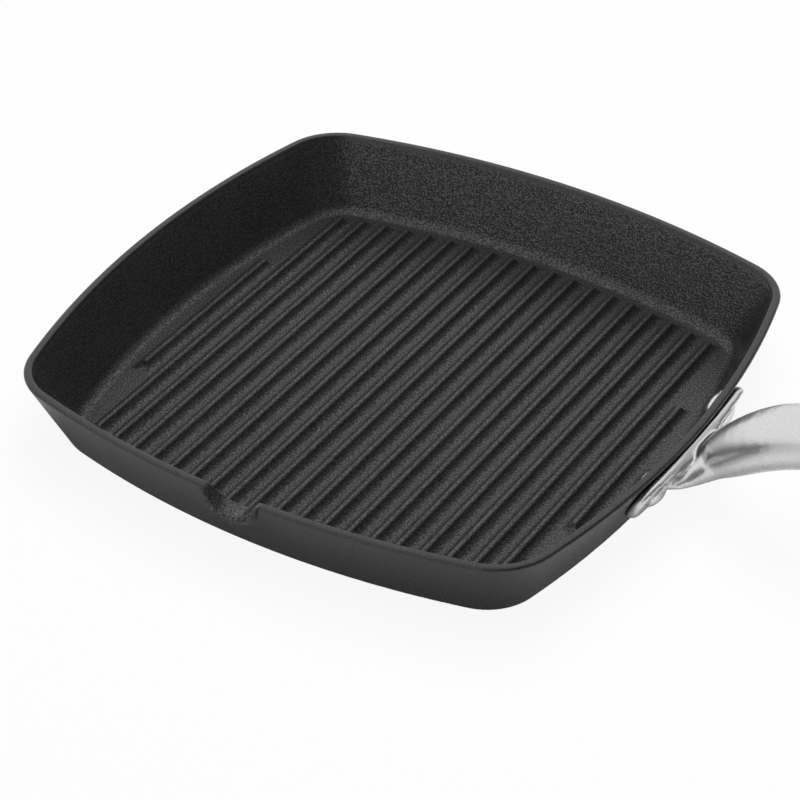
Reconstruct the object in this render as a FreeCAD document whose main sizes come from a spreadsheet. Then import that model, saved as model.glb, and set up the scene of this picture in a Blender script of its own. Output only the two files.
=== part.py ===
"""Square cast-iron grill pan with a ribbed floor, a pouring spout and a riveted stainless handle.

The origin is the centre of the flat base, +Z is up, +X runs along the handle and the spout is on
the -Y side. Lengths are millimetres and angles are degrees.
"""
import FreeCAD
import Part
import Sketcher
import math
import os
import re
from FreeCAD import Placement, Rotation, Vector

SIZES = {
    # Casting: a bowed rectangle with rounded corners, whose straight walls flare to the rim
    "rim_half_x": 140.6,
    "rim_half_y": 137.9,
    "rim_side_radius": 416.0,
    "rim_corner_radius": 30.0,
    "base_corner_radius": 25.0,
    "wall_run": 16.7,
    "pan_height": 37.0,
    "wall_across": 4.15,
    "floor_thickness": 4.0,
    "base_edge_radius": 6.0,
    "floor_edge_radius": 6.0,
    "rim_outer_radius": 1.25,
    "rim_inner_radius": 0.9,
    # Ribs across the floor
    "rib_pitch": 10.83,
    "rib_height": 3.35,
    "rib_crest_width": 0.8,
    "rib_crest_radius": 1.0,
    "rib_foot_radius": 2.0,
    "rib_flank_angle": 22.0,
    "rib_root_depth": 1.0,
    "rib_side_margin": 12.0,
    "rib_end_margin": 11.3,
    "rib_end_run": 2.2,
    "short_rib_length": 94.0,
    # Pouring spout
    "spout_radius": 11.5,
    "spout_depth": 9.0,
    "spout_shoulder_radius": 5.0,
    "spout_lip": 3.1,
    "spout_fade": 52.0,
    "spout_lean": 0.12,
    "spout_edge_radius": 1.2,
    # Rivets and their seats
    "rivet_spacing": 62.0,
    "rivet_level": 25.0,
    "rivet_shank_radius": 3.0,
    "rivet_hole_clearance": 0.15,
    "rivet_seat_depth": 0.3,
    "rivet_seat_clearance": 0.4,
    "inner_head_radius": 8.6,
    "inner_head_height": 3.3,
    "outer_head_radius": 6.0,
    "outer_head_height": 2.6,
    "head_land": 0.6,
    # Handle bracket
    "bracket_gap": 0.1,
    "bracket_across": 4.4,
    "bracket_level": 24.5,
    "bracket_half_length": 46.5,
    "bracket_half_height": 9.1,
    "bracket_edge_bevel": 1.2,
    # Handle: neck, hollow grip and solid end, along one centre line
    "handle_rise": 35.0,
    "grip_rise": 8.0,
    "neck_length": 26.0,
    "bend_radius": 115.0,
    "grip_length": 92.0,
    "end_length": 30.0,
    "nose_length": 2.5,
    "root_height": 11.0,
    "root_flat": 31.0,
    "flare_length": 13.0,
    "grip_height": 25.2,
    "grip_flat": 3.3,
    "end_taper": 5.2,
    "nose_inset": 2.2,
    "tube_wall": 1.5,
    "spigot_length": 6.0,
    "spigot_clearance": 0.6,
    "hang_hole_radius": 5.5,
    "hang_hole_inset": 15.0,
}

doc = FreeCAD.newDocument("grill_pan")
sheet = doc.addObject("Spreadsheet::Sheet", "Sizes")
for row, (size_name, size) in enumerate(SIZES.items(), start=1):
    sheet.set(f"A{row}", size_name)
    sheet.set(f"B{row}", str(size))
    sheet.setAlias(f"B{row}", size_name)
doc.recompute()


# Expressions: every word with an underscore is a size on the sheet


def bound(text):
    """Expression text with the sheet put before each size name."""
    return re.sub(r"\b[a-z]+(?:_[a-z]+)+\b", lambda word: "Sizes." + word.group(), text)


def number(text):
    """Present value of an expression of sizes."""
    return float(sheet.evalExpression(bound(text)))


def bind(thing, path, text):
    thing.setExpression(path, bound(text))


# Sketches and bodies


def new_body(label):
    body = doc.addObject("PartDesign::Body", label)
    body.Label = label
    return body


def new_sketch(body, name, role, x="0", y="0", level="0", tilt=None):
    """Sketch on one of the body's own planes, moved in it and off it, and tilted about its X axis."""
    plane = next(item for item in body.Origin.OriginFeatures if item.Role == role)
    sketch = body.newObject("Sketcher::SketchObject", name)
    sketch.AttachmentSupport = [(plane, "")]
    sketch.MapMode = "FlatFace"
    if tilt:
        sketch.AttachmentOffset = Placement(Vector(), Rotation(Vector(-1, 0, 0), number(tilt)))
        bind(sketch, "AttachmentOffset.Rotation.Angle", tilt)
    for axis, text in zip("xyz", (x, y, level)):
        bind(sketch, f"AttachmentOffset.Base.{axis}", text)
    return sketch


def dimension(sketch, name, text, kind, *places):
    """Driving dimension of a sketch, bound to an expression."""
    unit = " * 1 deg" if kind == "Angle" else ""
    amount = number(text)
    start = math.radians(amount) if kind == "Angle" else amount
    index = sketch.addConstraint(Sketcher.Constraint(kind, *places, start))
    sketch.renameConstraint(index, name)
    bind(sketch, f"Constraints.{name}", f"({text}){unit}")


def constrain(sketch, *constraints):
    for constraint in constraints:
        sketch.addConstraint(Sketcher.Constraint(*constraint))


def arc(x, y, radius, start, end):
    circle = Part.Circle(Vector(x, y, 0), Vector(0, 0, 1), radius)
    return Part.ArcOfCircle(circle, start, end)


def line(x0, y0, x1, y1):
    return Part.LineSegment(Vector(x0, y0, 0), Vector(x1, y1, 0))


def outline(body, name, half_x, half_y, side_radius, corner_radius, level):
    """Bowed rectangle: four long side arcs with rounded corners between them."""
    side = number(side_radius)
    corner = number(corner_radius)
    centre_x = number(half_x) - side
    centre_y = number(half_y) - side
    slope = centre_x / centre_y
    offset = (centre_y ** 2 - centre_x ** 2) / (2 * centre_y)
    a = 1 + slope ** 2
    b = 2 * (offset * slope - centre_x)
    c = centre_x ** 2 + offset ** 2 - (side - corner) ** 2
    corner_x = (-b + math.sqrt(b * b - 4 * a * c)) / (2 * a)
    corner_y = offset + slope * corner_x
    low = math.atan2(corner_y, corner_x - centre_x)
    high = math.atan2(corner_y - centre_y, corner_x)
    pi = math.pi
    sketch = new_sketch(body, name, "XY_Plane", level=level)
    sketch.addGeometry([
        arc(centre_x, 0, side, -low, low),
        arc(corner_x, corner_y, corner, low, high),
        arc(0, centre_y, side, high, pi - high),
        arc(-corner_x, corner_y, corner, pi - high, pi - low),
        arc(-centre_x, 0, side, pi - low, pi + low),
        arc(-corner_x, -corner_y, corner, pi + low, pi + high),
        arc(0, -centre_y, side, pi + high, 2 * pi - high),
        arc(corner_x, -corner_y, corner, 2 * pi - high, 2 * pi - low),
    ])
    for index in range(8):
        constrain(sketch, ("Tangent", index, 2, (index + 1) % 8, 1))
    for index in (0, 4):
        constrain(sketch, ("PointOnObject", index, 3, -1))
        constrain(sketch, ("PointOnObject", index + 2, 3, -2))
    for index in (2, 4, 6):
        constrain(sketch, ("Equal", 0, index), ("Equal", 1, index + 1))
    dimension(sketch, "side_bow", side_radius, "Radius", 0)
    dimension(sketch, "corner", corner_radius, "Radius", 1)
    dimension(sketch, "right", f"{side_radius} - ({half_x})", "DistanceX", 0, 3, -1, 1)
    dimension(sketch, "left", f"{side_radius} - ({half_x})", "DistanceX", -1, 1, 4, 3)
    dimension(sketch, "back", f"{side_radius} - ({half_y})", "DistanceY", 2, 3, -1, 1)
    dimension(sketch, "front", f"{side_radius} - ({half_y})", "DistanceY", -1, 1, 6, 3)
    return sketch


def wall_outline(body, name, level, outward):
    """Outline of the casting's outer wall at a level, moved outwards by a distance."""
    share = f"({level}) / pan_height"
    inset = f"(wall_run * (1 - {share}) - ({outward}))"
    corner = f"(base_corner_radius + (rim_corner_radius - base_corner_radius) * {share} + ({outward}))"
    return outline(
        body, name,
        f"(rim_half_x - {inset})",
        f"(rim_half_y - {inset})",
        f"(rim_side_radius - {inset})",
        corner,
        level,
    )


def slot_geometry(sketch, half_run, radius):
    """Two half circles joined by straight runs, centred on the sketch."""
    half = number(half_run)
    tall = number(radius)
    pi = math.pi
    sketch.addGeometry([
        line(half, tall, -half, tall),
        arc(-half, 0, tall, pi / 2, 1.5 * pi),
        line(-half, -tall, half, -tall),
        arc(half, 0, tall, 1.5 * pi, 2.5 * pi),
    ])
    for index in range(4):
        constrain(sketch, ("Tangent", index, 2, (index + 1) % 4, 1))
    constrain(sketch, ("Equal", 1, 3), ("PointOnObject", 1, 3, -1), ("PointOnObject", 3, 3, -1))
    dimension(sketch, "end", radius, "Radius", 1)
    dimension(sketch, "left", half_run, "DistanceX", 1, 3, -1, 1)
    dimension(sketch, "right", half_run, "DistanceX", -1, 1, 3, 3)


def loft(body, name, sections, kind="PartDesign::AdditiveLoft", ruled=False):
    feature = body.newObject(kind, name)
    feature.Profile = sections[0]
    feature.Sections = sections[1:]
    feature.Ruled = ruled
    doc.recompute()
    return feature


def wall_block(label, outward):
    """Solid bounded by the outer wall moved outwards by a distance, from the base to the rim."""
    body = new_body(label)
    sections = [wall_outline(body, label + "_rim", "pan_height", outward),
                wall_outline(body, label + "_base", "0", outward)]
    loft(body, label + "_loft", sections, ruled=True)
    return body


def pad(body, sketch, name, length, symmetric=False):
    feature = body.newObject("PartDesign::Pad", name)
    feature.Profile = sketch
    if symmetric:
        feature.SideType = "Symmetric"
    bind(feature, "Length", length)
    doc.recompute()
    return feature


def fillet(body, name, edges, radius):
    base = body.Tip
    feature = body.newObject("PartDesign::Fillet", name)
    feature.Base = (base, edges)
    bind(feature, "Radius", radius)
    doc.recompute()
    return feature


def edge_names(shape, wanted):
    return [f"Edge{index}" for index, edge in enumerate(shape.Edges, start=1) if wanted(edge)]


def level_edges(shape, level):
    """Names of the edges that lie all along in one level plane."""
    near = 0.001
    return edge_names(shape, lambda edge: abs(edge.BoundBox.ZMin - level) < near
                      and abs(edge.BoundBox.ZMax - level) < near)


def lies_on(edge, *shells):
    """Whether an edge lies all along on each of the shells."""
    near = 0.001
    first, last = edge.ParameterRange
    points = [Part.Vertex(edge.valueAt(first + (last - first) * share)) for share in (0.1, 0.5, 0.9)]
    return all(shell.distToShape(point)[0] < near for shell in shells for point in points)


def bevelled(label, source, name, wanted, width):
    """Body that takes over a shape and bevels some of its edges."""
    body = new_body(label)
    body.BaseFeature = source
    doc.recompute()
    base = body.Tip
    edges = edge_names(body.Shape, wanted)
    feature = body.newObject("PartDesign::Chamfer", name)
    feature.Base = (base, edges)
    bind(feature, "Size", width)
    doc.recompute()
    return body


def rounded(label, source, rounds):
    """Body that takes over a shape and rounds some of its edges."""
    body = new_body(label)
    body.BaseFeature = source
    doc.recompute()
    for name, wanted, radius in rounds:
        fillet(body, name, edge_names(body.Shape, wanted), radius)
    return body


def combine(kind, label, base, *tools):
    """Part boolean of two or more objects."""
    feature = doc.addObject(kind, label)
    feature.Label = label
    if kind == "Part::Cut":
        feature.Base = base
        feature.Tool = tools[0]
    else:
        feature.Shapes = [base, *tools]
    feature.Refine = True
    doc.recompute()
    return feature


# Casting: shell, ribs and spout


def pan_shell():
    """Outer block less the cavity, with the base, rim and floor edges rounded."""
    block = wall_block("pan_block", "0")
    fillet(block, "base_edge", level_edges(block.Shape, 0), "base_edge_radius")
    fillet(block, "rim_outer_edge", level_edges(block.Shape, number("pan_height")), "rim_outer_radius")
    cavity = new_body("pan_cavity")
    sections = [wall_outline(cavity, "cavity_rim", "pan_height", "-wall_across"),
                wall_outline(cavity, "cavity_floor", "floor_thickness", "-wall_across")]
    loft(cavity, "cavity_loft", sections, ruled=True)
    floor_edges = level_edges(cavity.Shape, number("floor_thickness"))
    fillet(cavity, "cavity_floor_edge", floor_edges, "floor_edge_radius")
    return combine("Part::Cut", "pan_shell", block, cavity)


FLOOR_INSET = "(wall_run * (1 - floor_thickness / pan_height) + wall_across)"
RIB_REACH = f"(rim_half_x - {FLOOR_INSET} - rib_side_margin)"
RIB_STEPS = f"floor({RIB_REACH} / rib_pitch)"


def rib_profile(body, name, centre):
    """Rib section on the XZ plane: flat crest, rounded shoulders, sloped flanks, hollow feet."""
    height = number("rib_height")
    crest = number("rib_crest_width") / 2
    shoulder = number("rib_crest_radius")
    foot = number("rib_foot_radius")
    slope = math.radians(number("rib_flank_angle"))
    root = number("rib_root_depth")
    top_x = crest + shoulder * math.cos(slope)
    top_y = height - shoulder + shoulder * math.sin(slope)
    low_y = foot - foot * math.sin(slope)
    low_x = top_x + (top_y - low_y) * math.tan(slope)
    foot_x = low_x + foot * math.cos(slope)
    pi = math.pi
    sketch = new_sketch(body, name, "XZ_Plane", x=centre, y="floor_thickness")
    sketch.addGeometry([
        line(-foot_x, -root, foot_x, -root),
        line(foot_x, -root, foot_x, 0),
        arc(foot_x, foot, foot, pi + slope, 1.5 * pi),
        line(low_x, low_y, top_x, top_y),
        arc(crest, height - shoulder, shoulder, slope, pi / 2),
        line(crest, height, -crest, height),
        arc(-crest, height - shoulder, shoulder, pi / 2, pi - slope),
        line(-top_x, top_y, -low_x, low_y),
        arc(-foot_x, foot, foot, 1.5 * pi, 2 * pi - slope),
        line(-foot_x, 0, -foot_x, -root),
    ])
    constrain(
        sketch,
        ("Coincident", 0, 2, 1, 1), ("Coincident", 1, 2, 2, 2),
        ("Coincident", 8, 1, 9, 1), ("Coincident", 9, 2, 0, 1),
        ("Horizontal", 0), ("Horizontal", 5), ("Vertical", 1), ("Vertical", 9),
        ("Tangent", 2, 1, 3, 1), ("Tangent", 3, 2, 4, 1), ("Tangent", 4, 2, 5, 1),
        ("Tangent", 5, 2, 6, 1), ("Tangent", 6, 2, 7, 1), ("Tangent", 7, 2, 8, 2),
        ("Vertical", 2, 2, 2, 3), ("Vertical", 8, 1, 8, 3),
        ("PointOnObject", 2, 2, -1), ("PointOnObject", 8, 1, -1),
        ("Equal", 2, 8), ("Equal", 4, 6), ("Equal", 3, 7),
    )
    dimension(sketch, "foot", "rib_foot_radius", "Radius", 2)
    dimension(sketch, "shoulder", "rib_crest_radius", "Radius", 4)
    dimension(sketch, "crest_right", "rib_crest_width / 2", "DistanceX", -1, 1, 5, 1)
    dimension(sketch, "crest_left", "rib_crest_width / 2", "DistanceX", 5, 2, -1, 1)
    dimension(sketch, "crest_level", "rib_height", "DistanceY", -1, 1, 5, 1)
    dimension(sketch, "flank", "90 + rib_flank_angle", "Angle", 3)
    dimension(sketch, "root", "rib_root_depth", "DistanceY", 0, 1, -1, 1)
    return sketch


def rib_limit(body, name, level, margin):
    """Bowed outline at a level, a margin inside the near and far walls, as wide as the row of ribs."""
    inset = f"(wall_run * (1 - ({level}) / pan_height) + wall_across + {margin})"
    radius = f"(rim_side_radius - {inset})"
    centre = number("rim_half_y - rim_side_radius")
    bow = number(radius)
    half = number(f"rib_pitch * {RIB_STEPS}")
    edge = centre + math.sqrt(bow ** 2 - half ** 2)
    turn = math.acos(half / bow)
    pi = math.pi
    sketch = new_sketch(body, name, "XY_Plane", level=level)
    sketch.addGeometry([
        arc(0, centre, bow, turn, pi - turn),
        line(-half, edge, -half, -edge),
        arc(0, -centre, bow, pi + turn, 2 * pi - turn),
        line(half, -edge, half, edge),
    ])
    constrain(
        sketch,
        ("Coincident", 0, 2, 1, 1), ("Coincident", 1, 2, 2, 1),
        ("Coincident", 2, 2, 3, 1), ("Coincident", 3, 2, 0, 1),
        ("Vertical", 1), ("Vertical", 3), ("Equal", 0, 2),
        ("PointOnObject", 0, 3, -2), ("PointOnObject", 2, 3, -2),
    )
    dimension(sketch, "bow", radius, "Radius", 0)
    dimension(sketch, "far_centre", "rim_side_radius - rim_half_y", "DistanceY", 0, 3, -1, 1)
    dimension(sketch, "near_centre", "rim_side_radius - rim_half_y", "DistanceY", -1, 1, 2, 3)
    dimension(sketch, "right_side", f"rib_pitch * {RIB_STEPS}", "DistanceX", -1, 1, 3, 1)
    dimension(sketch, "left_side", f"rib_pitch * {RIB_STEPS}", "DistanceX", 1, 1, -1, 1)
    return sketch


def long_ribs():
    """Full row of ribs, cut off along a line parallel to the floor's edge."""
    bars = new_body("rib_bars")
    section = rib_profile(bars, "rib_section", f"-rib_pitch * ({RIB_STEPS} - 1)")
    first = pad(bars, section, "first_rib", "2 * rim_half_y", symmetric=True)
    row_of_ribs = bars.newObject("PartDesign::LinearPattern", "rib_row")
    row_of_ribs.Originals = [first]
    row_of_ribs.Direction = (section, ["H_Axis"])
    bind(row_of_ribs, "Length", f"2 * rib_pitch * ({RIB_STEPS} - 1)")
    bind(row_of_ribs, "Occurrences", f"2 * {RIB_STEPS} - 1")
    bars.Tip = row_of_ribs
    limits = new_body("rib_limits")
    tops = rib_limit(limits, "rib_tops", "floor_thickness + rib_height", "rib_end_margin")
    feet = rib_limit(limits, "rib_feet", "floor_thickness - rib_root_depth", "rib_end_margin - rib_end_run")
    loft(limits, "rib_limit", [tops, feet], ruled=True)
    return combine("Part::MultiCommon", "long_ribs", bars, limits)


def short_ribs():
    """One shorter rib beyond each end of the row."""
    bars = new_body("short_rib_bars")
    section = rib_profile(bars, "short_rib_section", f"rib_pitch * {RIB_STEPS}")
    right = pad(bars, section, "right_short_rib", "2 * rim_half_y", symmetric=True)
    both = bars.newObject("PartDesign::Mirrored", "short_rib_pair")
    both.Originals = [right]
    both.MirrorPlane = (next(item for item in bars.Origin.OriginFeatures if item.Role == "YZ_Plane"), [""])
    bars.Tip = both
    limits = new_body("short_rib_limits")
    half = number("short_rib_length") / 2
    run = number("rib_end_run")
    low = -number("rib_root_depth")
    top = number("rib_height")
    sketch = new_sketch(limits, "short_rib_side", "YZ_Plane", y="floor_thickness")
    sketch.addGeometry([
        line(-half - run, low, half + run, low),
        line(half + run, low, half, top),
        line(half, top, -half, top),
        line(-half, top, -half - run, low),
    ])
    constrain(
        sketch,
        ("Coincident", 0, 2, 1, 1), ("Coincident", 1, 2, 2, 1),
        ("Coincident", 2, 2, 3, 1), ("Coincident", 3, 2, 0, 1),
        ("Horizontal", 0), ("Horizontal", 2),
    )
    dimension(sketch, "near_top", "short_rib_length / 2", "DistanceX", 2, 2, -1, 1)
    dimension(sketch, "far_top", "short_rib_length / 2", "DistanceX", -1, 1, 2, 1)
    dimension(sketch, "near_foot", "short_rib_length / 2 + rib_end_run", "DistanceX", 0, 1, -1, 1)
    dimension(sketch, "far_foot", "short_rib_length / 2 + rib_end_run", "DistanceX", -1, 1, 0, 2)
    dimension(sketch, "top_level", "rib_height", "DistanceY", -1, 1, 2, 1)
    dimension(sketch, "foot_level", "rib_root_depth", "DistanceY", 0, 1, -1, 1)
    pad(limits, sketch, "short_rib_limit", "2 * rim_half_x", symmetric=True)
    return combine("Part::MultiCommon", "short_ribs", bars, limits)


def spout_bulge():
    """Bulge of the near wall that carries the lip of the spout and fades out down the wall."""
    bar = new_body("spout_bar")
    radius = "(spout_radius + spout_lip)"
    low = f"(pan_height - spout_depth - spout_lip + {radius} / sin(spout_fade))"
    reach = "(rim_half_y + spout_lean * spout_depth)"
    sketch = new_sketch(bar, "spout_bar_section", "XZ_Plane", y=low, level=reach, tilt="90 - spout_fade")
    sketch.addGeometry(Part.Circle(Vector(), Vector(0, 0, 1), number(radius)))
    constrain(sketch, ("Coincident", 0, 3, -1, 1))
    dimension(sketch, "bulge", radius, "Radius", 0)
    pad(bar, sketch, "spout_bar_pad", "4 * pan_height", symmetric=True)
    limits = new_body("spout_limits")
    lean = "spout_lean * pan_height"
    sections = [wall_outline(limits, "spout_high", "pan_height", "0"),
                wall_outline(limits, "spout_low", "0", f"wall_run + {lean}")]
    loft(limits, "spout_limit", sections, ruled=True)
    inside = wall_block("spout_inside", "-wall_across / 2")
    outer = combine("Part::MultiCommon", "spout_outer", bar, limits)
    return combine("Part::Cut", "spout_bulge", outer, inside)


def spout_notch():
    """Cutter for the channel: a round trough with shoulders that roll into the rim."""
    body = new_body("spout_notch")
    trough = number("spout_radius")
    shoulder = number("spout_shoulder_radius")
    height = number("pan_height")
    centre = height - number("spout_depth") + trough
    drop = centre - height + shoulder
    start = math.sqrt((trough + shoulder) ** 2 - drop ** 2)
    turn = math.atan2(drop, start)
    top = 2 * height
    pi = math.pi
    sketch = new_sketch(body, "spout_notch_section", "XZ_Plane")
    sketch.addGeometry([
        arc(0, centre, trough, pi + turn, 2 * pi - turn),
        arc(start, height - shoulder, shoulder, pi / 2, pi - turn),
        line(start, height, start, top),
        line(start, top, -start, top),
        line(-start, top, -start, height),
        arc(-start, height - shoulder, shoulder, turn, pi / 2),
    ])
    constrain(
        sketch,
        ("Tangent", 0, 2, 1, 2), ("Coincident", 1, 1, 2, 1), ("Coincident", 2, 2, 3, 1),
        ("Coincident", 3, 2, 4, 1), ("Coincident", 4, 2, 5, 2), ("Tangent", 5, 1, 0, 1),
        ("PointOnObject", 0, 3, -2), ("Vertical", 2), ("Vertical", 4), ("Horizontal", 3),
        ("Vertical", 1, 3, 1, 1), ("Vertical", 5, 3, 5, 2), ("Equal", 1, 5),
    )
    dimension(sketch, "trough", "spout_radius", "Radius", 0)
    dimension(sketch, "shoulder", "spout_shoulder_radius", "Radius", 1)
    dimension(sketch, "trough_level", "pan_height - spout_depth + spout_radius", "DistanceY", -1, 1, 0, 3)
    dimension(sketch, "right_level", "pan_height", "DistanceY", -1, 1, 1, 1)
    dimension(sketch, "left_level", "pan_height", "DistanceY", -1, 1, 5, 2)
    dimension(sketch, "top_level", "2 * pan_height", "DistanceY", -1, 1, 3, 1)
    pad(body, sketch, "spout_notch_pad", "2 * rim_half_y")
    return body


# Rivets: both stand square to the wall, each side of the handle


def wall_seat(side):
    """Place on the outer wall where a rivet goes through, with +Z square to the wall, outwards."""
    share = number("rivet_level / pan_height")
    radius = number("rim_side_radius - wall_run * (1 - rivet_level / pan_height)")
    across = number("rivet_spacing / 2") * side
    turn = math.asin(across / radius)
    reach = number("rim_half_x") - number("wall_run") * (1 - share)
    face = Vector(reach - radius * (1 - math.cos(turn)), across, number("rivet_level"))
    lean = math.degrees(math.atan2(number("wall_run"), number("pan_height")))
    spin = Rotation(Vector(0, 0, 1), math.degrees(turn))
    return Placement(face, spin * Rotation(Vector(0, 1, 0), 90 + lean))


LEAN = "cos(atan(wall_run / pan_height))"
INNER_SEAT = f"(wall_across * {LEAN} - rivet_seat_depth)"
OUTER_SEAT = f"((bracket_gap + bracket_across) * {LEAN} - rivet_seat_depth)"


def seat_cutter(label, side, radius, start, length):
    """Cylinder along a rivet's axis."""
    cutter = doc.addObject("Part::Cylinder", label)
    bind(cutter, "Radius", radius)
    bind(cutter, "Height", length)
    cutter.Placement = wall_seat(side) * Placement(Vector(0, 0, number(start)), Rotation())
    return cutter


def rivet_cutters(name, outer):
    """Holes for both rivets, and flat seats for the heads on one face."""
    cutters = []
    hole = "rivet_shank_radius + rivet_hole_clearance"
    if outer:
        seat = "outer_head_radius + rivet_seat_clearance"
        depth = "outer_head_height + rivet_seat_depth"
        start = OUTER_SEAT
    else:
        seat = "inner_head_radius + rivet_seat_clearance"
        depth = "inner_head_height + rivet_seat_depth"
        start = f"-{INNER_SEAT} - ({depth})"
    for side, where in ((-1, "near"), (1, "far")):
        cutters.append(seat_cutter(f"{name}_hole_{where}", side, hole,
                                   "-2 * wall_across", "4 * (wall_across + bracket_across)"))
        cutters.append(seat_cutter(f"{name}_seat_{where}", side, seat, start, depth))
    return combine("Part::MultiFuse", f"{name}_cutters", *cutters)


DOME_BANDS = 2


def dome_points(radius, crown, seat):
    """Radius and level of points on a domed head, from its edge to its crown."""
    rise = f"({crown} - head_land)"
    ball = f"(({radius} ^ 2 + {rise} ^ 2) / (2 * {rise}))"
    points = [(radius, f"({seat} + head_land)")]
    for band in range(DOME_BANDS - 1, 0, -1):
        turn = f"(asin({radius} / {ball}) * {band} / {DOME_BANDS})"
        points.append((f"({ball} * sin({turn}))", f"({seat} + {crown} - {ball} * (1 - cos({turn})))"))
    return points + [(None, f"({seat} + {crown})")]


def rivet(label, side):
    """Rivet turned about its shank, with a domed head at each end."""
    body = new_body(label)
    shank = "rivet_shank_radius"
    inner = "inner_head_radius"
    outer = "outer_head_radius"
    inner_dome = dome_points(inner, "inner_head_height", INNER_SEAT)
    outer_dome = dome_points(outer, "outer_head_height", OUTER_SEAT)
    below = inner_dome[::-1] + [(inner, INNER_SEAT), (shank, INNER_SEAT)]
    above = [(shank, OUTER_SEAT), (outer, OUTER_SEAT)] + outer_dome
    corners = [(radius, level, -1) for radius, level in below]
    corners += [(radius, level, 1) for radius, level in above]
    points = []
    for radius, level, sign in corners:
        points.append(Vector(number(radius) if radius else 0, number(level) * sign, 0))
    sketch = new_sketch(body, label + "_section", "XZ_Plane")
    count = len(points)
    for index in range(count):
        sketch.addGeometry(Part.LineSegment(points[index], points[(index + 1) % count]))
    for index in range(count):
        constrain(sketch, ("Coincident", index, 2, (index + 1) % count, 1))
    for index, (radius, level, sign) in enumerate(corners):
        if radius:
            dimension(sketch, f"radius_{index}", radius, "DistanceX", -1, 1, index, 1)
        else:
            constrain(sketch, ("PointOnObject", index, 1, -2))
        ends = (-1, 1, index, 1) if sign > 0 else (index, 1, -1, 1)
        dimension(sketch, f"level_{index}", level, "DistanceY", *ends)
    turned = body.newObject("PartDesign::Revolution", label + "_turned")
    turned.Profile = sketch
    turned.ReferenceAxis = (sketch, ["V_Axis"])
    turned.Angle = 360
    body.Tip = turned
    doc.recompute()
    body.Placement = wall_seat(side)
    doc.recompute()
    return body


def casting():
    notch = spout_notch()
    lined = combine("Part::MultiFuse", "pan_lined", pan_shell(), long_ribs())
    ribbed = combine("Part::MultiFuse", "pan_ribbed", lined, short_ribs())
    bulged = combine("Part::MultiFuse", "pan_bulged", ribbed, spout_bulge())
    poured = combine("Part::Cut", "pan_poured", bulged, notch)
    cavity_wall = doc.getObject("pan_cavity").Shape.Shells[0]
    bulge_end = doc.getObject("spout_limits").Shape.Shells[0]
    channel = notch.Shape.Shells[0]
    trough = number("pan_height - spout_depth")
    near = 0.01

    def high(edge):
        return edge.BoundBox.ZMin > trough - near

    smooth = rounded("pan_smooth", poured, [
        ("rim_inner_edge", lambda edge: high(edge) and lies_on(edge, cavity_wall), "rim_inner_radius"),
        ("spout_lip_edge", lambda edge: high(edge) and lies_on(edge, channel, bulge_end),
         "spout_edge_radius"),
    ])
    return combine("Part::Cut", "pan_body", smooth, rivet_cutters("pan", outer=False))


# Handle: sections stand square to a centre line that rises, bends and runs out to the end

ROOT_X = "(rim_half_x - wall_run * (1 - bracket_level / pan_height) + bracket_gap + bracket_across)"
NECK_X = f"({ROOT_X} + neck_length * cos(handle_rise))"
NECK_Z = "(bracket_level + neck_length * sin(handle_rise))"
GRIP_X = f"({NECK_X} + bend_radius * (sin(handle_rise) - sin(grip_rise)))"
GRIP_Z = f"({NECK_Z} + bend_radius * (cos(grip_rise) - cos(handle_rise)))"


def grip_place(distance):
    """Centre line's place at a distance beyond the bend."""
    return f"({GRIP_X} + ({distance}) * cos(grip_rise))", f"({GRIP_Z} + ({distance}) * sin(grip_rise))"


def oval(body, name, place, tilt, height, flat):
    """Section square to the centre line: half circles as tall as the handle, with flat runs."""
    x, z = place
    sketch = new_sketch(body, name, "YZ_Plane", y=z, level=x, tilt=tilt)
    slot_geometry(sketch, f"({flat}) / 2", f"({height}) / 2")
    return sketch


NECK_END = ((NECK_X, NECK_Z), "handle_rise", "grip_height", "grip_flat")
GRIP_START = ((GRIP_X, GRIP_Z), "grip_rise", "grip_height", "grip_flat")
GRIP_END = (grip_place("grip_length"), "grip_rise", "grip_height", "grip_flat")


def smaller(section, inset):
    """Section drawn in by a distance all round."""
    place, tilt, height, flat = section
    return place, tilt, f"({height} - 2 * ({inset}))", flat


def pocket(body, sketch, name, length):
    """Straight hollow along the handle, from a section towards the tip."""
    feature = body.newObject("PartDesign::Pocket", name)
    feature.Profile = sketch
    feature.Reversed = True
    bind(feature, "Length", length)
    doc.recompute()
    return feature


def bend(body, name, section):
    """Section turned about the centre of the bend."""
    sketch = oval(body, name + "_section", *section)
    radius = number("bend_radius")
    half = number("grip_height") / 2
    sketch.addGeometry(line(-half, -radius, half, -radius), True)
    constrain(sketch, ("Horizontal", 4))
    dimension(sketch, "bend", "bend_radius", "DistanceY", 4, 1, -1, 1)
    dimension(sketch, "left_end", "grip_height / 2", "DistanceX", 4, 1, -1, 1)
    dimension(sketch, "right_end", "grip_height / 2", "DistanceX", -1, 1, 4, 2)
    feature = body.newObject("PartDesign::Revolution", name)
    feature.Profile = sketch
    feature.ReferenceAxis = (sketch, ["Axis0"])
    bind(feature, "Angle", "handle_rise - grip_rise")
    doc.recompute()
    return feature


def handle_grip():
    """Bend out of the neck, with a socket for its plug, and a straight hollow grip."""
    body = new_body("handle_grip")
    bend(body, "grip_bend", NECK_END)
    pad(body, oval(body, "grip_section", *GRIP_START), "grip_outside", "grip_length")
    socket = oval(body, "socket_section", *smaller(NECK_END, "tube_wall"))
    pocket(body, socket, "neck_socket", "spigot_length + spigot_clearance")
    bore = oval(body, "bore_section", *smaller(GRIP_START, "tube_wall"))
    pocket(body, bore, "grip_inside", "grip_length")
    return body


def spigot(body, section, name, backwards):
    """Short plug that centres a solid piece in the end of the grip."""
    sketch = oval(body, name + "_section", *smaller(section, "tube_wall + spigot_clearance"))
    feature = pad(body, sketch, name, "spigot_length")
    feature.Reversed = backwards
    doc.recompute()
    return feature


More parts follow.
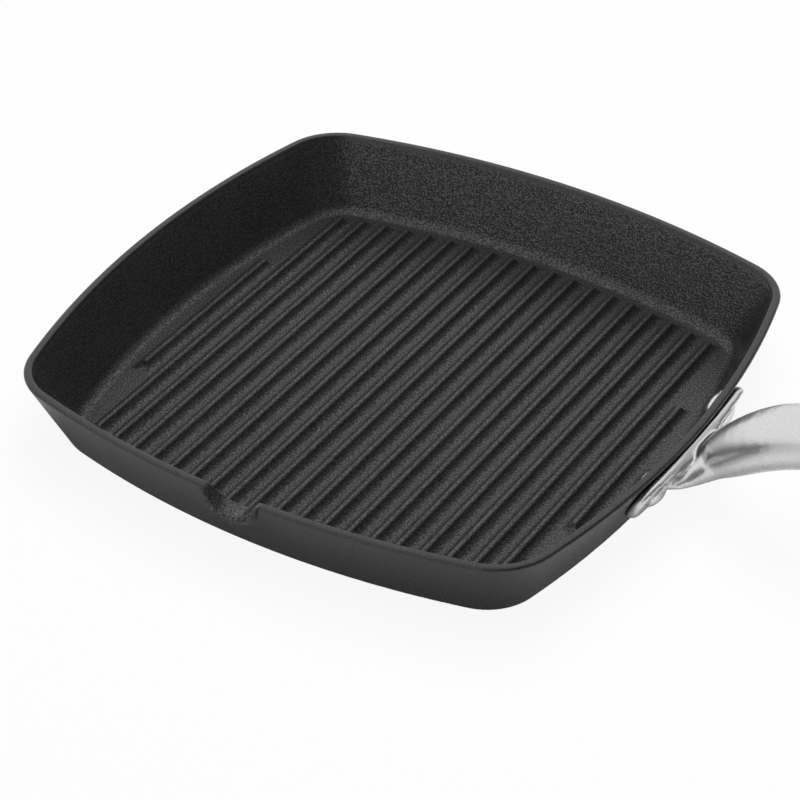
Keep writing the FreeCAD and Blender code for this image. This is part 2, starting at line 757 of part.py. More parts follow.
def handle_bracket():
    """Flange with two ears that follows the wall, and the flared neck that grows out of it."""
    slot = new_body("bracket_slot")
    sketch = new_sketch(slot, "bracket_face", "YZ_Plane", y="bracket_level")
    slot_geometry(sketch, "(bracket_half_length - bracket_half_height)", "bracket_half_height")
    pad(slot, sketch, "bracket_slot_pad", "rim_half_x + bracket_gap + bracket_across")
    outer = wall_block("bracket_outer", "bracket_gap + bracket_across")
    block = combine("Part::MultiCommon", "bracket_block", slot, outer)
    face = outer.Shape.Shells[0]
    side = slot.Shape.Shells[0]
    flange = bevelled("bracket_flange", block, "bracket_edge",
                      lambda edge: lies_on(edge, face, side), "bracket_edge_bevel")
    wall = wall_block("bracket_seat", "bracket_gap")
    neck = new_body("handle_neck")
    root = (f"({ROOT_X} - bracket_across)", "bracket_level")
    flare_x = f"({ROOT_X} + flare_length * cos(handle_rise))"
    flare_z = "(bracket_level + flare_length * sin(handle_rise))"
    neck_start = ((flare_x, flare_z), *NECK_END[1:])
    flare = [oval(neck, "root_section", root, None, "root_height", "root_flat"),
             oval(neck, "flare_section", *neck_start)]
    loft(neck, "neck_flare", flare, ruled=True)
    pad(neck, oval(neck, "neck_section", *neck_start), "neck_run", "neck_length - flare_length")
    spigot(neck, NECK_END, "neck_spigot", False)
    blank = combine("Part::MultiFuse", "bracket_blank", flange, neck)
    seated = combine("Part::Cut", "bracket_seated", blank, wall)
    return combine("Part::Cut", "handle_bracket", seated, rivet_cutters("bracket", outer=True))


def handle_end():
    """Solid end of the handle, tapered towards its tip, with the hanging hole through it."""
    body = new_body("handle_end")
    tip = (grip_place("grip_length + end_length - nose_length"), *smaller(GRIP_END, "end_taper")[1:])
    nose = (grip_place("grip_length + end_length"), *smaller(tip, "nose_inset")[1:])
    sections = [oval(body, "nose_section", *nose),
                oval(body, "tip_section", *tip),
                oval(body, "end_section", *GRIP_END)]
    loft(body, "end_loft", sections, ruled=True)
    x, z = grip_place("grip_length + end_length - hang_hole_inset")
    sketch = new_sketch(body, "hang_hole_circle", "YZ_Plane", y=z, level=x, tilt="grip_rise + 90")
    sketch.addGeometry(Part.Circle(Vector(), Vector(0, 0, 1), number("hang_hole_radius")))
    constrain(sketch, ("Coincident", 0, 3, -1, 1))
    dimension(sketch, "hole", "hang_hole_radius", "Radius", 0)
    hole = body.newObject("PartDesign::Pocket", "hang_hole")
    hole.Profile = sketch
    hole.SideType = "Symmetric"
    bind(hole, "Length", "2 * grip_height")
    doc.recompute()
    spigot(body, GRIP_END, "end_spigot", True)
    return body


def check_and_write(parts):
    broken = [item.Name for item in doc.Objects if "Invalid" in item.State or "Error" in item.State]
    if broken:
        raise RuntimeError(f"failed objects: {broken}")
    for part in parts:
        if part.Shape.isNull() or not part.Shape.isValid():
            raise RuntimeError(f"bad shape: {part.Label}")
    os.makedirs("parts", exist_ok=True)
    for part in parts:
        part.Shape.exportStep(f"parts/{part.Label}.step")
        print(part.Label, len(part.Shape.Solids), round(part.Shape.Volume), part.Shape.BoundBox)


check_and_write([
    casting(),
    handle_bracket(),
    handle_grip(),
    handle_end(),
    rivet("rivet_near", -1),
    rivet("rivet_far", 1),
])
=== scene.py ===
"""Looks of the grill pan: a black iron casting, a satin steel handle and two polished rivets."""

import math

import bpy
from mathutils import Matrix, Vector


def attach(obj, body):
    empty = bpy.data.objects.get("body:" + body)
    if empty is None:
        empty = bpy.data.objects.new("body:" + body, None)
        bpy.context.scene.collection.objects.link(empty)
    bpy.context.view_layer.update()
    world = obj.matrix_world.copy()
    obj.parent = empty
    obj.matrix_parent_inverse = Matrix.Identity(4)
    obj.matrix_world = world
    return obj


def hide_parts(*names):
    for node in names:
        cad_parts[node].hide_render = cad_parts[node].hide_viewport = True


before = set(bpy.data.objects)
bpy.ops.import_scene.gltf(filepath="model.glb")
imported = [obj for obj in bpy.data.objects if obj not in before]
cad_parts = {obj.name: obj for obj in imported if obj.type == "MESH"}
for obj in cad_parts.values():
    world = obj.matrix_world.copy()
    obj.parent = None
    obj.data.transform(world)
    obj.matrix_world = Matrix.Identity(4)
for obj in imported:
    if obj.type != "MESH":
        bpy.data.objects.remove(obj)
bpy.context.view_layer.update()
scene = bpy.context.scene

# Camera: place and aim in metres, lens and sensor in millimetres
CAMERA_PLACE = Vector((0.5305, -0.8631, 0.7518))
CAMERA_AIM = Vector((0.01352, -0.02927, 0.0219))
CAMERA_LENS = 129.3
CAMERA_SENSOR = 36.0

# Floor: size in metres, its own finish, and the share of plain white
# that the camera and that bright surfaces see in it
FLOOR_SIZE = 12.0
FLOOR_PALE = (0.93, 0.93, 0.93, 1)
FLOOR_ROUGHNESS = 0.9
FLOOR_WHITE = 0.92
FLOOR_SHEEN = 0.12

# Light: even strength all round, and lamps with their place and size in metres and power in watts
WHITE = (1, 1, 1, 1)
EVEN_LIGHT = 0.15
LAMP_AIM = Vector((0, 0, 0))
LAMPS = (
    ("key", Vector((-0.1, 0.5, 1.35)), (0.9, 0.7), 12.0),
    ("top", Vector((0.25, -0.25, 1.5)), (0.8, 0.8), 8.0),
)

# Surroundings as they show in bright surfaces: white, but dim over this range of the direction's X
DIM_SIDE = (0.0, 0.45)
DIM_SHARE = 0.2

# Casting: edges that turn by less than this are shaded round, and how much larger faces lead the shading
CASTING_CREASE = math.radians(50)
SHADING_WEIGHT = 60

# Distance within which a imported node's loose corners are one corner
WELD = 2e-6

# Share of a face's normal along Z above which the face counts as level
LEVEL_FACE = 0.9

# Ribs over the solid's own ones, in metres: a hair larger, with fuller feet and sloped ends
FLOOR_LEVEL = 0.00399
LONG_RIBS = 19
RIB_PITCH = 0.01083
RIB_RISE = 0.00339
RIB_CREST = 0.0011
RIB_SLOPE = math.radians(22)
RIB_END_SLOPE = math.radians(27)
RIB_SHOULDER_RADIUS = 0.001
RIB_FOOT_RADIUS = 0.004
RIB_ROOT = 0.0004
LONG_RIB_HALF = 0.10915
RIB_BOW = 0.38717
SHORT_RIB_HALF = 0.04705
SHOULDER_STEPS = 4
FOOT_STEPS = 8

# Shares of a rib foot's spread that the inset and the round take up, both short of the slab's edge
INSET_SHARE = 0.98
FOOT_SHARE = 0.96

# Handle skin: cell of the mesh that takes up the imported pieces, and the strength and rounds of smoothing
SKIN_CELL = 0.0007
SKIN_SMOOTHING = 0.5
SKIN_ROUNDS = 9

# Bracket: middle of its outer face, where the neck starts, the ways out of that face and up along it,
# half its height, and how far in front of the face and below the upper edge it is cut
NECK_START = Vector((0.13946, 0.0, 0.0245))
BRACKET_FACE = Vector((0.911, 0.0, -0.411))
BRACKET_UP = Vector((0.411, 0.0, 0.911))
BRACKET_HALF = 0.0091
BRACKET_MARGIN = 0.0001
BRACKET_TRIM = 0.0006

# Neck: its rise from the bracket, the run at which it starts to bend towards level,
# and the run at which the grip takes over
NECK_RISE = math.radians(35)
NECK_SIDES = 48
BEND_START = 0.026
BEND_RADIUS = 0.115
GRIP_CUT = 0.046
GRIP_RADIUS = 0.0126
GRIP_FLAT = 0.0033

# Neck sections from the grip back into the bracket: run from the start, half width,
# and reach over and under the axis
NECK_SECTIONS = (
    (0.0465, 0.01425, 0.0126, 0.0126),
    (0.0420, 0.0142, 0.0122, 0.0126),
    (0.0360, 0.0139, 0.0115, 0.0126),
    (0.0300, 0.0135, 0.0106, 0.0126),
    (0.0250, 0.0131, 0.0098, 0.0125),
    (0.0205, 0.0127, 0.0089, 0.0123),
    (0.0170, 0.0124, 0.0081, 0.0120),
    (0.0140, 0.0123, 0.0073, 0.0116),
    (0.0112, 0.0130, 0.0064, 0.0111),
    (0.0085, 0.0154, 0.0053, 0.0105),
    (0.0055, 0.0188, 0.0043, 0.0095),
    (0.0010, 0.0222, 0.0035, 0.0078),
    (-0.0045, 0.0235, 0.0030, 0.0050),
)

# Rivets: where each goes through the wall's outer face, which way it points, and its sizes in metres
RIVET_SEATS = {
    "near": (Vector((0.134012, -0.031, 0.025)), Vector((0.908858, -0.068817, -0.411389))),
    "far": (Vector((0.134012, 0.031, 0.025)), Vector((0.908858, 0.068817, -0.411389))),
}
RIVET_SHANK = 0.003
INNER_SEAT = -0.003483
OUTER_SEAT = 0.003802
INNER_HEAD = {"radius": 0.0086, "height": 0.0033}
OUTER_HEAD = {"radius": 0.0060, "height": 0.0026}
HEAD_LAND = 0.0006
RIVET_SIDES = 64
RIVET_CREASE = math.radians(30)

# Domed heads: rings from land to tip, and the tip's size as a share of the last ring's
DOME_RINGS = 8
DOME_TIP = 0.02

# Pebbled grain: detail and roughness of its noises, share of the finer one, and the range that makes spots
GRAIN_DETAIL = 1.0
GRAIN_ROUGHNESS = 0.5
FINE_SHARE = 0.2
SPOT_RANGE = (0.38, 0.66)

# Casting: grain as cells and fineness per metre, and strength and depth of its relief
CAST_GRAIN = (1250.0, 3000.0)
CAST_RELIEF = (1.0, 0.00022)

# Casting: the turn of a face and the level under the rim over which the grain fades, and its share elsewhere
INSIDE_TURN = (-0.15, 0.15)
RIM_ZONE = (0.0340, 0.0362)
OUTER_GRAIN = 0.25

# Casting: scale, detail and roughness of broad patches, and their ranges of colour and roughness
CAST_PATCHES = (38.0, 4.0, 0.6)
SHADE_RANGE = (0.35, 0.7)
CAST_SHADES = ((0.012, 0.012, 0.0125, 1), (0.016, 0.016, 0.0165, 1))
ROUGH_RANGE = (0.3, 0.75)
CAST_ROUGHNESS = (0.28, 0.34)

# Casting: what the spots of the grain do to colour, roughness and gloss
SPOT_COLOUR = (0.034, 0.034, 0.0345, 1)
SPOT_COLOUR_SHARE = 0.5
SPOT_ROUGHNESS = -0.08
CAST_GLOSS = 0.57
SPOT_GLOSS = 0.32

# Steels: grain and relief as for the casting, two tones of the grain, and clouds of roughness
CLOUD_RANGE = (0.3, 0.7)
SATIN = {
    "grain": (1900.0, 5200.0),
    "relief": (0.16, 0.0001),
    "tones": ((0.66, 0.66, 0.655, 1), (0.75, 0.75, 0.745, 1)),
    "clouds": (60.0, 3.0, 0.55),
    "roughness": (0.25, 0.31),
}
POLISH = {
    "grain": (1100.0, 4200.0),
    "relief": (0.05, 0.0001),
    "tones": ((0.73, 0.73, 0.725, 1), (0.80, 0.80, 0.795, 1)),
    "clouds": (420.0, 3.0, 0.6),
    "roughness": (0.10, 0.20),
}


def select_only(piece):
    bpy.ops.object.select_all(action="DESELECT")
    piece.select_set(True)
    bpy.context.view_layer.objects.active = piece


def apply_modifier(piece, kind, name, **settings):
    select_only(piece)
    modifier = piece.modifiers.new(name, kind)
    for key, value in settings.items():
        setattr(modifier, key, value)
    bpy.ops.object.modifier_apply(modifier=name)


def copy_of(node, name):
    """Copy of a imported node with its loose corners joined."""
    piece = bpy.data.objects.new(name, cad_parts[node].data.copy())
    scene.collection.objects.link(piece)
    select_only(piece)
    bpy.ops.mesh.customdata_custom_splitnormals_clear()
    bpy.ops.object.mode_set(mode="EDIT")
    bpy.ops.mesh.select_all(action="SELECT")
    bpy.ops.mesh.remove_doubles(threshold=WELD)
    bpy.ops.object.mode_set(mode="OBJECT")
    return piece


def join(pieces):
    bpy.ops.object.select_all(action="DESELECT")
    for piece in pieces:
        piece.select_set(True)
    bpy.context.view_layer.objects.active = pieces[0]
    bpy.ops.object.join()
    return pieces[0]


def settle(piece, material, slot, *nodes):
    """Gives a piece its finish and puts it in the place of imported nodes."""
    piece.data.materials.clear()
    piece.data.materials.append(material)
    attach(piece, "root")
    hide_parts(*nodes)


def clear_selection(kind):
    """Leaves nothing selected in the active piece, ready to pick faces or edges."""
    bpy.ops.object.mode_set(mode="EDIT")
    bpy.ops.mesh.select_mode(type=kind)
    bpy.ops.mesh.select_all(action="DESELECT")
    bpy.ops.object.mode_set(mode="OBJECT")


def select_faces(piece, wanted):
    """Selects the wanted faces of the active piece, and leaves it in edit mode."""
    clear_selection("FACE")
    for face in piece.data.polygons:
        face.select = wanted(face)
    bpy.ops.object.mode_set(mode="EDIT")


def select_edges(piece, wanted):
    """Selects edges of the active piece by their two ends, and leaves it in edit mode."""
    clear_selection("EDGE")
    corners = piece.data.vertices
    for edge in piece.data.edges:
        edge.select = wanted(corners[edge.vertices[0]].co, corners[edge.vertices[1]].co)
    bpy.ops.object.mode_set(mode="EDIT")


def tangent_run(radius, slope):
    """Distance from a sharp edge at which a round between a flat and a flank starts."""
    return radius * math.tan((math.pi / 2 - slope) / 2)


def make_rib(across, half_length):
    """Rib from a thin slab in the floor: inset, drawn up to a crest, then rounded at crest and foot."""
    foot = RIB_CREST + RIB_RISE * math.tan(RIB_SLOPE)
    end = half_length + RIB_RISE * math.tan(RIB_END_SLOPE)
    spread = tangent_run(RIB_FOOT_RADIUS, RIB_SLOPE)
    shoulder = tangent_run(RIB_SHOULDER_RADIUS, RIB_SLOPE)
    slab = (2 * (foot + spread), 2 * (end + spread), RIB_ROOT)
    bpy.ops.object.select_all(action="DESELECT")
    bpy.ops.mesh.primitive_cube_add(size=1, location=(across, 0, FLOOR_LEVEL - RIB_ROOT / 2), scale=slab)
    rib = bpy.context.object
    bpy.ops.object.transform_apply(location=True, scale=True)
    select_faces(rib, lambda face: face.normal.z > LEVEL_FACE)
    bpy.ops.mesh.inset(thickness=spread * INSET_SHARE)
    bpy.ops.mesh.extrude_region_move(TRANSFORM_OT_translate={"value": (0, 0, RIB_RISE)})
    bpy.ops.transform.resize(value=(RIB_CREST / foot, half_length / end, 1))
    half_rise = FLOOR_LEVEL + RIB_RISE / 2
    select_edges(rib, lambda one, other: min(one.z, other.z) > half_rise)
    bpy.ops.mesh.bevel(offset=shoulder, segments=SHOULDER_STEPS, affect="EDGES")

    def on_foot(corner):
        level = abs(corner.z - FLOOR_LEVEL) < RIB_ROOT / 10
        return level and abs(corner.x - across) < foot + spread / 2 and abs(corner.y) < end + spread / 2

    select_edges(rib, lambda one, other: on_foot(one) and on_foot(other))
    bpy.ops.mesh.bevel(offset=spread * FOOT_SHARE, segments=FOOT_STEPS, affect="EDGES", clamp_overlap=False)
    bpy.ops.object.mode_set(mode="OBJECT")
    return rib


def make_ribs():
    """Row of long ribs, whose ends follow the bow of the walls, and a short rib at each end of the row."""
    middle = (LONG_RIBS - 1) // 2
    ribs = []
    for index in range(LONG_RIBS):
        across = (index - middle) * RIB_PITCH
        bow = RIB_BOW - math.sqrt(RIB_BOW ** 2 - across ** 2)
        ribs.append(make_rib(across, LONG_RIB_HALF - bow))
    for side in (-1, 1):
        ribs.append(make_rib(side * (middle + 1) * RIB_PITCH, SHORT_RIB_HALF))
    return ribs


def make_casting(material):
    """The pan and its ribs, with the rounds shaded smooth and the flats kept flat."""
    casting = join([copy_of("pan_body", "casting")] + make_ribs())
    bpy.ops.object.shade_smooth_by_angle(angle=CASTING_CREASE)
    apply_modifier(casting, "WEIGHTED_NORMAL", "even_shading", keep_sharp=True, weight=SHADING_WEIGHT)
    settle(casting, material, "cast_iron", "pan_body")


def cut_off(piece, place, normal):
    """Takes off what lies beyond a plane and closes the cut."""
    select_only(piece)
    bpy.ops.object.mode_set(mode="EDIT")
    bpy.ops.mesh.select_all(action="SELECT")
    bpy.ops.mesh.bisect(plane_co=place, plane_no=normal, use_fill=True, clear_outer=True)
    bpy.ops.object.mode_set(mode="OBJECT")


def neck_ring(run, over, under):
    """Middle of a section and its turn, in a frame with X along the neck's straight start and Z over it."""
    turn = max(run - BEND_START, 0) / BEND_RADIUS
    straight = min(run, BEND_START)
    lift = (over - under) / 2
    ahead = straight + BEND_RADIUS * math.sin(turn) + lift * math.sin(turn)
    height = BEND_RADIUS * (math.cos(turn) - 1) + lift * math.cos(turn)
    return Vector((ahead, 0, height)), turn


def make_neck():
    """Neck drawn back from the grip's section, ring by ring: a waist below the grip, then wide and low."""
    bpy.ops.object.select_all(action="DESELECT")
    run, half, over, under = NECK_SECTIONS[0]
    middle, turn = neck_ring(run, over, under)
    bpy.ops.mesh.primitive_circle_add(vertices=NECK_SIDES, radius=GRIP_RADIUS, fill_type="NGON",
                                      rotation=(0, math.pi / 2, 0))
    neck = bpy.context.object
    bpy.ops.object.transform_apply(rotation=True)
    for side in (-1, 1):
        select_edges(neck, lambda one, other: one.y * side > 0 and other.y * side > 0)
        bpy.ops.transform.translate(value=(0, side * GRIP_FLAT / 2, 0))
    bpy.ops.object.mode_set(mode="OBJECT")
    neck.rotation_euler = (0, turn, 0)
    neck.location = middle
    bpy.ops.object.transform_apply(location=True, rotation=True)
    select_faces(neck, lambda face: True)
    for next_run, next_half, next_over, next_under in NECK_SECTIONS[1:]:
        next_middle, next_turn = neck_ring(next_run, next_over, next_under)
        bpy.ops.mesh.extrude_region_move(TRANSFORM_OT_translate={"value": next_middle - middle})
        bpy.ops.transform.rotate(value=turn, orient_axis="Y")
        bpy.ops.transform.resize(value=(1, next_half / half, (next_over + next_under) / (over + under)))
        bpy.ops.transform.rotate(value=-next_turn, orient_axis="Y")
        half, over, under = next_half, next_over, next_under
        middle, turn = next_middle, next_turn
    bpy.ops.mesh.select_all(action="SELECT")
    bpy.ops.mesh.normals_make_consistent(inside=False)
    bpy.ops.object.mode_set(mode="OBJECT")
    neck.rotation_euler = (0, -NECK_RISE, 0)
    neck.location = NECK_START
    bpy.ops.object.transform_apply(location=True, rotation=True)
    return neck


def make_handle(material):
    """Bracket, neck, grip and end as one ground and blasted skin with soft blends."""
    nodes = ("handle_bracket", "handle_grip", "handle_end")
    bracket, grip, end = (copy_of(node, "steel_handle") for node in nodes)
    cut_off(bracket, NECK_START + BRACKET_FACE * BRACKET_MARGIN, BRACKET_FACE)
    cut_off(bracket, NECK_START + BRACKET_UP * (BRACKET_HALF - BRACKET_TRIM), BRACKET_UP)
    middle, turn = neck_ring(GRIP_CUT, GRIP_RADIUS, GRIP_RADIUS)
    to_frame = Matrix.Rotation(-NECK_RISE, 3, "Y")
    along = Vector((math.cos(NECK_RISE - turn), 0, math.sin(NECK_RISE - turn)))
    cut_off(grip, NECK_START + to_frame @ middle, -along)
    handle = join([bracket, grip, end, make_neck()])
    apply_modifier(handle, "REMESH", "one_skin", mode="VOXEL", voxel_size=SKIN_CELL)
    apply_modifier(handle, "SMOOTH", "ground", factor=SKIN_SMOOTHING, iterations=SKIN_ROUNDS)
    bpy.ops.object.shade_smooth()
    settle(handle, material, "satin_steel", *nodes)


def grow(scale, rise):
    """Extrudes the selected face along Z and scales its far end."""
    bpy.ops.mesh.extrude_region_move(TRANSFORM_OT_translate={"value": (0, 0, rise)})
    bpy.ops.transform.resize(value=(scale, scale, 1))


def grow_dome(radius, height, way):
    """Domed head on the selected disc: a short land, then rings on a ball."""
    rise = height - HEAD_LAND
    ball = (radius ** 2 + rise ** 2) / (2 * rise)
    turn = math.asin(radius / ball)
    grow(1, way * HEAD_LAND)
    last_radius = radius
    last_level = 0
    for ring in range(DOME_RINGS - 1, 0, -1):
        angle = turn * ring / DOME_RINGS
        ring_radius = ball * math.sin(angle)
        level = rise - ball * (1 - math.cos(angle))
        grow(ring_radius / last_radius, way * (level - last_level))
        last_radius = ring_radius
        last_level = level
    grow(DOME_TIP, way * (rise - last_level))


def on_end(face, middle, way):
    """Whether a face is level, lies on one side of the middle and looks that way."""
    return face.normal.z * way > LEVEL_FACE and (face.center.z - middle) * way > 0


def make_rivet(where, material):
    """Rivet from its shank: a domed head drawn out at each end, then set in the wall."""
    bpy.ops.object.select_all(action="DESELECT")
    middle = (INNER_SEAT + OUTER_SEAT) / 2
    bpy.ops.mesh.primitive_cylinder_add(vertices=RIVET_SIDES, radius=RIVET_SHANK,
                                        depth=OUTER_SEAT - INNER_SEAT, location=(0, 0, middle))
    rivet = bpy.context.object
    rivet.name = where + "_rivet"
    bpy.ops.object.transform_apply(location=True)
    for way, head in ((-1, INNER_HEAD), (1, OUTER_HEAD)):
        select_faces(rivet, lambda face: on_end(face, middle, way))
        grow(head["radius"] / RIVET_SHANK, 0)
        grow_dome(head["radius"], head["height"], way)
        bpy.ops.object.mode_set(mode="OBJECT")
    place, axis = RIVET_SEATS[where]
    rivet.rotation_euler = axis.to_track_quat("Z", "Y").to_euler()
    rivet.location = place
    bpy.ops.object.transform_apply(location=True, rotation=True)
    bpy.ops.object.shade_smooth_by_angle(angle=RIVET_CREASE)
    settle(rivet, material, "polished_steel", "rivet_" + where)


# Shader building


def add_node(tree, kind, **settings):
    node = tree.nodes.new(kind)
    for key, value in settings.items():
        setattr(node, key, value)
    return node


def feed(tree, socket, value):
    """Joins a socket to another one, or sets it to a plain value."""
    if isinstance(value, bpy.types.NodeSocket):
        tree.links.new(value, socket)
    else:
        socket.default_value = value


def noise(tree, place, scale, detail, roughness):
    node = add_node(tree, "ShaderNodeTexNoise")
    feed(tree, node.inputs["Vector"], place)
    feed(tree, node.inputs["Scale"], scale)
    feed(tree, node.inputs["Detail"], detail)
    feed(tree, node.inputs["Roughness"], roughness)
    return node.outputs["Fac"]


def stretch(tree, value, low, high, to_low, to_high, smooth=True):
    """Maps a value from one range to another and stops at its ends."""
    node = add_node(tree, "ShaderNodeMapRange")
    node.interpolation_type = "SMOOTHSTEP" if smooth else "LINEAR"
    feed(tree, node.inputs["Value"], value)
    feed(tree, node.inputs["From Min"], low)
    feed(tree, node.inputs["From Max"], high)
    feed(tree, node.inputs["To Min"], to_low)
    feed(tree, node.inputs["To Max"], to_high)
    return node.outputs["Result"]


def calculate(tree, operation, first, second):
    node = add_node(tree, "ShaderNodeMath", operation=operation)
    feed(tree, node.inputs[0], first)
    feed(tree, node.inputs[1], second)
    return node.outputs["Value"]


def mix_colours(tree, share, first, second):
    node = add_node(tree, "ShaderNodeMix", data_type="RGBA")
    feed(tree, node.inputs["Factor"], share)
    feed(tree, node.inputs["A"], first)
    feed(tree, node.inputs["B"], second)
    return node.outputs["Result"]


def mix_shaders(tree, share, first, second, output):
    """Mixes two shaders and puts the result on an output."""
    node = add_node(tree, "ShaderNodeMixShader")
    feed(tree, node.inputs["Fac"], share)
    feed(tree, node.inputs[1], first)
    feed(tree, node.inputs[2], second)
    feed(tree, output.inputs["Surface"], node.outputs["Shader"])


def split(tree, vector):
    """The three parts of a vector."""
    node = add_node(tree, "ShaderNodeSeparateXYZ")
    feed(tree, node.inputs["Vector"], vector)
    return node.outputs


def object_place(tree):
    return add_node(tree, "ShaderNodeTexCoord").outputs["Object"]


def start_material(name):
    material = bpy.data.materials.new(name)
    material.use_nodes = True
    tree = material.node_tree
    return material, tree, tree.nodes["Principled BSDF"]


def bump(tree, height, strength, distance):
    node = add_node(tree, "ShaderNodeBump")
    feed(tree, node.inputs["Height"], height)
    feed(tree, node.inputs["Strength"], strength)
    feed(tree, node.inputs["Distance"], distance)
    return node.outputs["Normal"]


def make_grain_group():
    """Pebbled grain: height and spots from small cells with a finer noise over them."""
    group = bpy.data.node_groups.new("pebbled_grain", "ShaderNodeTree")
    for name in ("Cells", "Fineness"):
        group.interface.new_socket(name=name, in_out="INPUT", socket_type="NodeSocketFloat")
    for name in ("Height", "Spots"):
        group.interface.new_socket(name=name, in_out="OUTPUT", socket_type="NodeSocketFloat")
    start = add_node(group, "NodeGroupInput")
    end = add_node(group, "NodeGroupOutput")
    place = object_place(group)
    coarse = noise(group, place, start.outputs["Cells"], GRAIN_DETAIL, GRAIN_ROUGHNESS)
    fine = noise(group, place, start.outputs["Fineness"], GRAIN_DETAIL, GRAIN_ROUGHNESS)
    height = calculate(group, "ADD", coarse, calculate(group, "MULTIPLY", fine, FINE_SHARE))
    feed(group, end.inputs["Height"], height)
    feed(group, end.inputs["Spots"], stretch(group, coarse, *SPOT_RANGE, 0.0, 1.0))
    return group


def grain(tree, group, cells, fineness):
    node = add_node(tree, "ShaderNodeGroup", node_tree=group)
    node.inputs["Cells"].default_value = cells
    node.inputs["Fineness"].default_value = fineness
    return node.outputs["Height"], node.outputs["Spots"]


def cast_black(group):
    """Black iron with a satin sheen: pebbled inside, smoother and faintly mottled on the rim and outside."""
    material, tree, shader = start_material("cast_black")
    place = object_place(tree)
    facing = split(tree, add_node(tree, "ShaderNodeNewGeometry").outputs["Normal"])
    inside = stretch(tree, facing["Z"], *INSIDE_TURN, 0.0, 1.0)
    below_rim = stretch(tree, split(tree, place)["Z"], *RIM_ZONE, 1.0, 0.0)
    share = calculate(tree, "MAXIMUM", calculate(tree, "MULTIPLY", inside, below_rim), OUTER_GRAIN)
    height, spots = grain(tree, group, *CAST_GRAIN)
    pits = calculate(tree, "MULTIPLY", spots, share)
    mottle = noise(tree, place, *CAST_PATCHES)
    shade = mix_colours(tree, stretch(tree, mottle, *SHADE_RANGE, 0.0, 1.0), *CAST_SHADES)
    pale = calculate(tree, "MULTIPLY", pits, SPOT_COLOUR_SHARE)
    feed(tree, shader.inputs["Base Color"], mix_colours(tree, pale, shade, SPOT_COLOUR))
    rough = stretch(tree, mottle, *ROUGH_RANGE, *CAST_ROUGHNESS)
    smoother = calculate(tree, "MULTIPLY", pits, SPOT_ROUGHNESS)
    feed(tree, shader.inputs["Roughness"], calculate(tree, "ADD", rough, smoother))
    swing = stretch(tree, spots, 0.0, 1.0, -SPOT_GLOSS, SPOT_GLOSS, smooth=False)
    gloss = calculate(tree, "ADD", calculate(tree, "MULTIPLY", swing, share), CAST_GLOSS)
    feed(tree, shader.inputs["Specular IOR Level"], gloss)
    relief = calculate(tree, "MULTIPLY", height, share)
    feed(tree, shader.inputs["Normal"], bump(tree, relief, *CAST_RELIEF))
    return material


def steel(group, name, look):
    """Stainless steel: a fine grain in two tones, with soft cloudy differences in gloss."""
    material, tree, shader = start_material(name)
    place = object_place(tree)
    height, spots = grain(tree, group, *look["grain"])
    clouds = noise(tree, place, *look["clouds"])
    feed(tree, shader.inputs["Base Color"], mix_colours(tree, spots, *look["tones"]))
    feed(tree, shader.inputs["Roughness"], stretch(tree, clouds, *CLOUD_RANGE, *look["roughness"]))
    feed(tree, shader.inputs["Normal"], bump(tree, height, *look["relief"]))
    shader.inputs["Metallic"].default_value = 1.0
    return material


# Floor, light and camera


def make_floor():
    """Pale floor that shows nearly white to the camera, with a faint shadow left in it."""
    bpy.ops.object.select_all(action="DESELECT")
    bpy.ops.mesh.primitive_plane_add(size=FLOOR_SIZE, location=(0, 0, 0))
    floor = bpy.context.object
    floor.name = "floor"
    material, tree, shader = start_material("pale_floor")
    shader.inputs["Base Color"].default_value = FLOOR_PALE
    shader.inputs["Roughness"].default_value = FLOOR_ROUGHNESS
    shader.inputs["Specular IOR Level"].default_value = 0.0
    white = add_node(tree, "ShaderNodeEmission")
    white.inputs["Color"].default_value = WHITE
    white.inputs["Strength"].default_value = 1.0
    path = add_node(tree, "ShaderNodeLightPath").outputs
    direct = calculate(tree, "MULTIPLY", path["Is Camera Ray"], FLOOR_WHITE)
    mirrored = calculate(tree, "MULTIPLY", path["Is Glossy Ray"], FLOOR_SHEEN)
    share = calculate(tree, "MAXIMUM", direct, mirrored)
    output = tree.nodes["Material Output"]
    mix_shaders(tree, share, shader.outputs["BSDF"], white.outputs["Emission"], output)
    floor.data.materials.append(material)


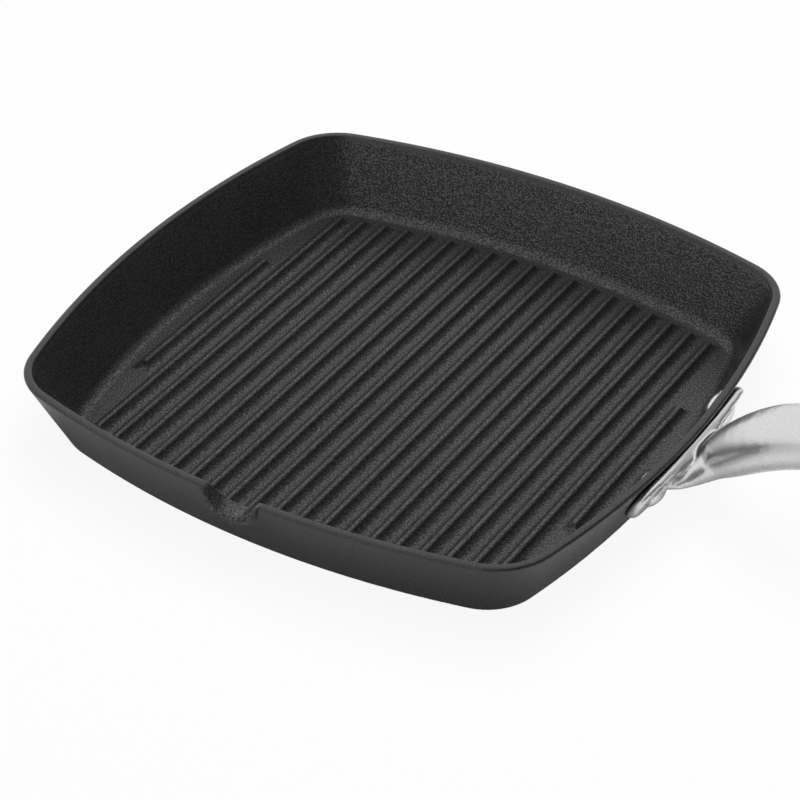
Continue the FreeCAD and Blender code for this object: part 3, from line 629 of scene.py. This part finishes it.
def make_world():
    """White surroundings for the camera and for what bright surfaces mirror, else a plain even light."""
    world = bpy.data.worlds.new("studio")
    scene.world = world
    world.use_nodes = True
    tree = world.node_tree
    even = tree.nodes["Background"]
    even.inputs["Color"].default_value = WHITE
    even.inputs["Strength"].default_value = EVEN_LIGHT
    white = add_node(tree, "ShaderNodeBackground")
    white.inputs["Color"].default_value = WHITE
    direction = split(tree, add_node(tree, "ShaderNodeTexCoord").outputs["Generated"])
    path = add_node(tree, "ShaderNodeLightPath").outputs
    side = stretch(tree, direction["X"], *DIM_SIDE, 1.0, DIM_SHARE)
    mirrored = calculate(tree, "MULTIPLY", path["Is Glossy Ray"], side)
    direct = calculate(tree, "MAXIMUM", path["Is Camera Ray"], path["Is Transmission Ray"])
    feed(tree, white.inputs["Strength"], calculate(tree, "MAXIMUM", direct, mirrored))
    seen = calculate(tree, "MAXIMUM", direct, path["Is Glossy Ray"])
    output = tree.nodes["World Output"]
    mix_shaders(tree, seen, even.outputs["Background"], white.outputs["Background"], output)


def make_lamp(name, place, size, power):
    """Soft lamp that lights the stage but isn't mirrored: only the white surroundings are."""
    data = bpy.data.lights.new(name, "AREA")
    data.shape = "RECTANGLE"
    data.size, data.size_y = size
    data.energy = power
    lamp = bpy.data.objects.new(name, data)
    scene.collection.objects.link(lamp)
    lamp.location = place
    lamp.rotation_euler = (LAMP_AIM - place).to_track_quat("-Z", "Y").to_euler()
    lamp.visible_glossy = False


def make_camera():
    data = bpy.data.cameras.new("camera")
    data.lens = CAMERA_LENS
    data.sensor_width = CAMERA_SENSOR
    data.sensor_fit = "HORIZONTAL"
    camera = bpy.data.objects.new("camera", data)
    scene.collection.objects.link(camera)
    camera.location = CAMERA_PLACE
    camera.rotation_euler = (CAMERA_AIM - CAMERA_PLACE).to_track_quat("-Z", "Y").to_euler()
    scene.camera = camera


# Pieces, then the stage round them

grain_group = make_grain_group()
make_casting(cast_black(grain_group))
make_handle(steel(grain_group, "satin_steel", SATIN))
polished = steel(grain_group, "polished_steel", POLISH)
for where in RIVET_SEATS:
    make_rivet(where, polished)

make_floor()
make_world()
for lamp_settings in LAMPS:
    make_lamp(*lamp_settings)
make_camera()
scene.view_settings.view_transform = "Standard"
